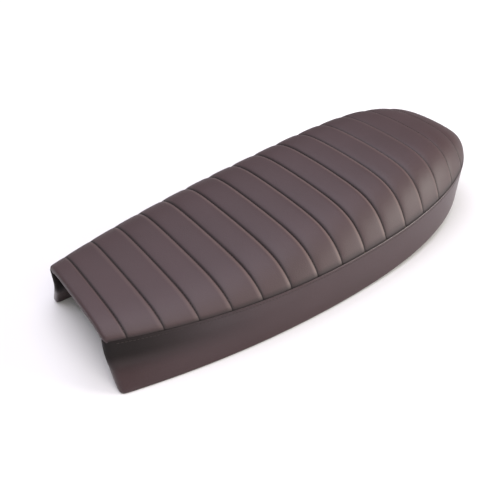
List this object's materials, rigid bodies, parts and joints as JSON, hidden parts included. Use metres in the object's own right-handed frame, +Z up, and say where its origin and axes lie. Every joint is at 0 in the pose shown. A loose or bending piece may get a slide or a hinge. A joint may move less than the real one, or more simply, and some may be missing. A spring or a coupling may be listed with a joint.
{
  "type": "cafe racer seat",
  "caption": "Long low motorbike seat with a rounded rear, a tuck-and-roll leatherette top, a smooth side band, an open-fronted tunnel underneath and studs for bolting to the frame.",
  "frame": {"origin": "on the floor under the middle of the seat's bounding box", "axes": "+X towards the front of the motorbike, +Y to the rider's left, +Z up"},
  "size_m": [0.6293, 0.275, 0.1321],
  "materials": {
    "leatherette": "satin brown leatherette with a fine grain",
    "foam": "moulded polyurethane foam",
    "pan_plastic": "moulded black polypropylene",
    "zinc_steel": "zinc-plated steel",
    "stop_rubber": "black moulded rubber"
  },
  "bodies": {
    "root": {"top_panel": "leatherette", "side_band": "leatherette", "foam_core": "foam", "base_pan": "pan_plastic", "hem_staples": "zinc_steel", "mounting_studs": "zinc_steel", "square_washers": "zinc_steel", "stud_nuts": "zinc_steel", "bump_stops": "stop_rubber"}
  },
  "joints": []
}
